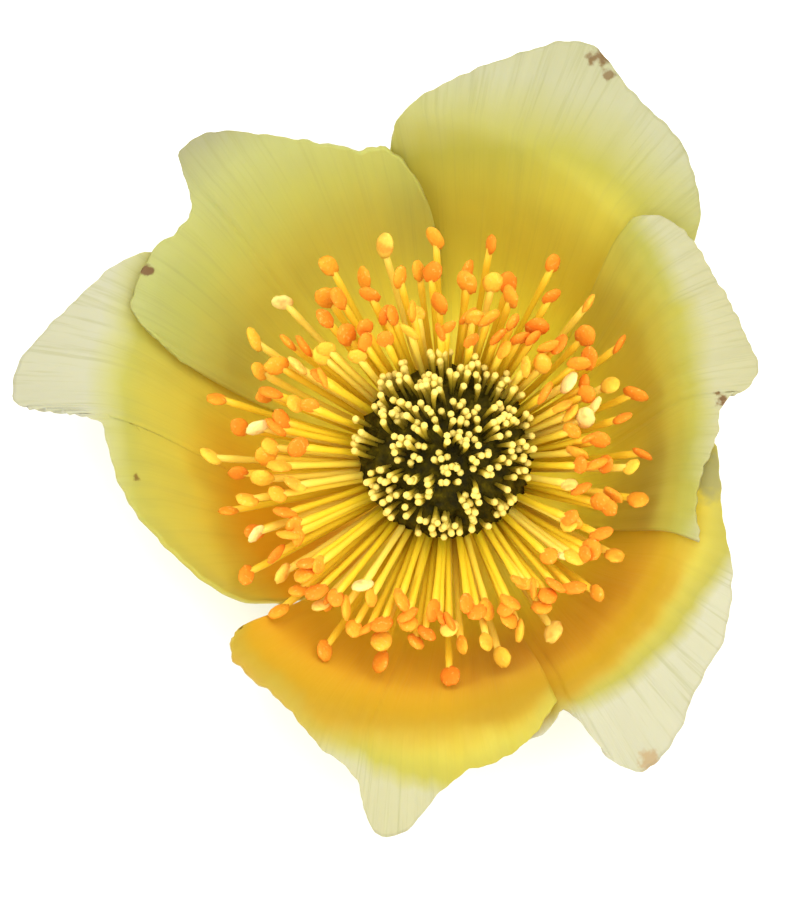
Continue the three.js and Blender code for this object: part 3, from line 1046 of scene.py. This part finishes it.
# %% Stamen finishes
def filament_finish():
    wire = new_material("filament")
    along, tint = grown_coordinates(wire, "Growth")
    colour = along.ramp([
        (0.0, srgb(206, 186, 30)),
        (0.3, srgb(234, 200, 30)),
        (0.8, srgb(244, 206, 44)),
        (1.0, srgb(246, 198, 50)),
    ])
    colour = colour.mix(srgb(250, 226, 110), tint.fade(0.6, 1.0) * 0.5)
    place = own_place(wire)
    grain = noise(place, 2600.0)
    bump = bumped(grain, 0.2, 0.0001)
    thread = wire.node("ShaderNodeBsdfPrincipled", None, {
        "Base Color": colour,
        "Roughness": grain.fade(0.3, 0.7, 0.42, 0.6),
        "Specular IOR Level": 0.3,
        "Normal": bump,
        "Subsurface Weight": 0.25,
        "Subsurface Radius": (1.0, 0.8, 0.2),
        "Subsurface Scale": 0.0004,
    })
    finish_material(thread)


def anther_finish():
    wire = new_material("anther")
    tint = grown_coordinates(wire, "Growth")[1]
    place = own_place(wire)
    grain = noise(place, 4200.0, 3.0)
    clumps = noise(place, 900.0)
    colour = tint.ramp([
        (0.0, srgb(234, 130, 20)),
        (0.45, srgb(238, 146, 28)),
        (0.75, srgb(240, 166, 36)),
        (0.92, srgb(244, 196, 56)),
        (1.0, srgb(250, 226, 140)),
    ])
    colour = colour.mix(srgb(220, 122, 20), clumps.fade(0.5, 0.7) * 0.5)
    colour = colour.mix(srgb(255, 214, 110), grain.fade(0.58, 0.72) * 0.4)
    bump = bumped(grain, 0.6, 0.00012)
    sac = wire.node("ShaderNodeBsdfPrincipled", None, {
        "Base Color": colour,
        "Roughness": 0.75,
        "Specular IOR Level": 0.3,
        "Normal": bump,
        "Subsurface Weight": 0.2,
        "Subsurface Radius": (1.0, 0.6, 0.2),
        "Subsurface Scale": 0.0003,
    })
    finish_material(sac)


filament_finish()
anther_finish()
print("stamen finishes:", [m.name for m in stamen_pieces[0].data.materials])

# %% [markdown]
# ## Styles, ovaries and stalk
#
# A style is dark olive at its foot, darkened further with painted shade, and cream at its
# stigma. The ovaries between them are as dark, also with painted shade. The receptacle and
# stalk are green under a fine down.

# %% Pistil and stalk finishes
def style_finish():
    wire = new_material("style")
    along, tint = grown_coordinates(wire, "Growth")
    # Near black at the foot: the style's own dark olive with painted shade from the close-set styles.
    colour = (along + (tint - 0.5) * 0.08).ramp([
        (0.0, srgb(40, 36, 2)),
        (0.4, srgb(84, 74, 6)),
        (0.64, srgb(158, 138, 28)),
        (0.78, srgb(176, 150, 34)),
        (0.86, srgb(224, 198, 78)),
        (1.0, srgb(244, 222, 116)),
    ])
    place = own_place(wire)
    grain = noise(place, 5200.0)
    colour = colour.mix(srgb(196, 172, 66), grain.fade(0.55, 0.7) * 0.35 + tint.fade(0.5, 1.0) * 0.3)
    bump = bumped(grain, 0.5, 0.00008)
    stigma = wire.node("ShaderNodeBsdfPrincipled", None, {
        "Base Color": colour,
        "Roughness": 0.6,
        "Specular IOR Level": 0.25,
        "Normal": bump,
        "Subsurface Weight": 0.15,
        "Subsurface Radius": (1.0, 0.9, 0.5),
        "Subsurface Scale": 0.0002,
    })
    finish_material(stigma)


def ovary_finish():
    wire = new_material("ovary")
    place = own_place(wire)
    grain = noise(place, 1500.0, 3.0)
    # Dark olive, near black: the ovaries' own colour with painted shade from the styles above.
    colour = grain.ramp([(0.35, srgb(44, 38, 2)), (0.6, srgb(72, 62, 4)), (0.8, srgb(110, 96, 12))])
    bump = bumped(grain, 0.8, 0.0003)
    finish_material(wire.node("ShaderNodeBsdfPrincipled", None, {
        "Base Color": colour,
        "Roughness": grain.fade(0.3, 0.7, 0.6, 0.85),
        "Specular IOR Level": 0.1,
        "Normal": bump,
    }))


def stalk_finish():
    wire = new_material("stalk")
    place = own_place(wire)
    grain = noise(place, 900.0, 3.0)
    hairs_per_metre = (2600.0, 2600.0, 300.0)
    drawn_out = wire.node("ShaderNodeVectorMath", {"operation": "MULTIPLY"}, {0: place, 1: hairs_per_metre})
    down = noise(drawn_out, 1.0, 3.0)
    colour = grain.ramp([(0.35, srgb(96, 112, 42)), (0.6, srgb(134, 146, 62)), (0.8, srgb(168, 172, 90))])
    colour = colour.mix(srgb(206, 208, 170), down.fade(0.58, 0.72) * 0.5)
    bump = bumped(down, 0.5, 0.0002)
    finish_material(wire.node("ShaderNodeBsdfPrincipled", None, {
        "Base Color": colour,
        "Roughness": down.fade(0.3, 0.7, 0.6, 0.8),
        "Normal": bump,
        "Sheen Weight": 0.4,
    }))


style_finish()
ovary_finish()
stalk_finish()
print("pistil finishes:", [m.name for m in pistils.data.materials])

# %% [markdown]
# ## Floor, light and camera
#
# The blossom lies on a plain pale floor, as a small object is set up in a studio. One large
# soft light hangs over it, and three low fills open up the walls of the cup. The camera
# looks down into the cup, a little from the front. A plain view transform keeps the strong
# yellows that the default one would grey.

# %% Floor
FLOOR_SIDE = 6.0  # metres


def make_floor():
    bpy.ops.object.select_all(action="DESELECT")
    bpy.ops.mesh.primitive_plane_add(size=FLOOR_SIDE, location=(0, 0, 0))
    floor = bpy.context.active_object
    floor.name = "floor"
    wire = new_material("floor paper")
    place = own_place(wire)
    grain = noise(place, 300.0)
    finish_material(wire.node("ShaderNodeBsdfPrincipled", None, {
        "Base Color": (0.9, 0.9, 0.9, 1.0),
        "Roughness": grain.fade(0.3, 0.7, 0.85, 0.95),
    }))
    floor.data.materials.append(finish_called("floor paper"))
    return floor


floor = make_floor()
print("floor, m:", FLOOR_SIDE)

# %% Lights
LIT_PLACE = Vector((0, 0, 0.01))
LAMPS = [  # name, place and size in metres, watts
    ("overhead", (0.14, 0.08, 0.62), 0.6, 2.9),
    ("left fill", (-0.55, -0.2, 0.32), 0.5, 1.2),
    ("front fill", (0.25, -0.55, 0.32), 0.5, 1.35),
    ("back fill", (-0.1, 0.6, 0.32), 0.5, 0.65),
]
SKY_STRENGTH = 1.04


def soft_light(name, place, size, watts):
    data = bpy.data.lights.new(name, "AREA")
    data.shape = "DISK"
    data.size = size
    data.energy = watts
    lamp = bpy.data.objects.new(name, data)
    lamp.location = place
    lamp.rotation_euler = (LIT_PLACE - Vector(place)).to_track_quat("-Z", "Y").to_euler()
    bpy.context.collection.objects.link(lamp)


for lamp in LAMPS:
    soft_light(*lamp)

world = bpy.data.worlds.new("studio")
bpy.context.scene.world = world
world.use_nodes = True
world.node_tree.nodes["Background"].inputs["Color"].default_value = (1, 1, 1, 1)
world.node_tree.nodes["Background"].inputs["Strength"].default_value = SKY_STRENGTH
bpy.context.scene.view_settings.view_transform = "Standard"
print("lamps:", len(LAMPS))

# %% Camera
ELEVATION = math.radians(80)
DISTANCE = 0.255  # metres from the rim
VIEW_WIDTH = 0.0544  # metres across the view at the rim
SENSOR_WIDTH = 36.0  # mm
AIM = (-3.2, -0.95, 15.0)  # mm: the middle of the view, at the rim's height

aim = Vector(in_frame(AIM))
back = Vector((0, -math.cos(ELEVATION), math.sin(ELEVATION)))
camera_data = bpy.data.cameras.new("camera")
camera = bpy.data.objects.new("camera", camera_data)
bpy.context.collection.objects.link(camera)
camera.location = aim + back * DISTANCE
camera.rotation_euler = (-back).to_track_quat("-Z", "Y").to_euler()
camera_data.sensor_fit = "HORIZONTAL"
camera_data.sensor_width = SENSOR_WIDTH
camera_data.lens = SENSOR_WIDTH * DISTANCE / VIEW_WIDTH
camera_data.clip_start = 0.01
bpy.context.scene.camera = camera
print("camera lens, mm:", round(camera_data.lens, 1))
